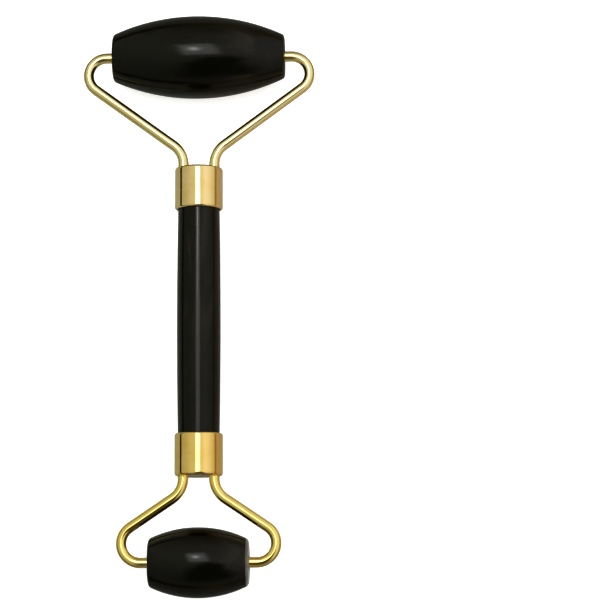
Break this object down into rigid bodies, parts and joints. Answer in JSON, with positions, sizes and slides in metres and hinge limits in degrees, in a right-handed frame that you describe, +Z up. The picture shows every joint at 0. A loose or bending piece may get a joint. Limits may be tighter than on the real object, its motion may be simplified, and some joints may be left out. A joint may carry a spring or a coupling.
{
  "type": "face roller",
  "caption": "Hand-held face roller: a large and a small barrel-shaped black stone roller, each turning in a bent gold wire fork, at the two ends of a slim stone handle.",
  "frame": {"origin": "on the surface that the roller lies on, under the middle of its bounding box", "axes": "+X along the rollers' axles, to the right when the large roller is at the top; +Y along the handle, towards the large roller; +Z up from the surface"},
  "size_m": [0.058, 0.145, 0.0205],
  "materials": {
    "roller_stone": "polished black stone, ground matt on the end faces",
    "handle_stone": "polished black stone",
    "gold_collar": "mirror-polished gold plating",
    "gold_wire": "polished gold plating on wire",
    "bush_nylon": "smooth black nylon",
    "solder": "dull silver solder",
    "epoxy": "cured epoxy"
  },
  "bodies": {
    "frame": {"handle": "handle_stone", "upper_collar": "gold_collar", "lower_collar": "gold_collar", "upper_left_arm": "gold_wire", "upper_right_arm": "gold_wire", "lower_left_arm": "gold_wire", "lower_right_arm": "gold_wire", "upper_left_solder": "solder", "upper_right_solder": "solder", "lower_left_solder": "solder", "lower_right_solder": "solder", "upper_glue": "epoxy", "lower_glue": "epoxy"},
    "large_roller": {"large_roller": "roller_stone", "large_roller_left_bush": "bush_nylon", "large_roller_right_bush": "bush_nylon"},
    "small_roller": {"small_roller": "roller_stone", "small_roller_left_bush": "bush_nylon", "small_roller_right_bush": "bush_nylon"}
  },
  "joints": [
    {"name": "large_roller_spin", "type": "hinge", "parent": "frame", "child": "large_roller", "pos_m": [0, 0.06225, 0.01025], "axis": [1, 0, 0], "continuous": true},
    {"name": "small_roller_spin", "type": "hinge", "parent": "frame", "child": "small_roller", "pos_m": [0, -0.06395, 0.00855], "axis": [1, 0, 0], "continuous": true}
  ]
}
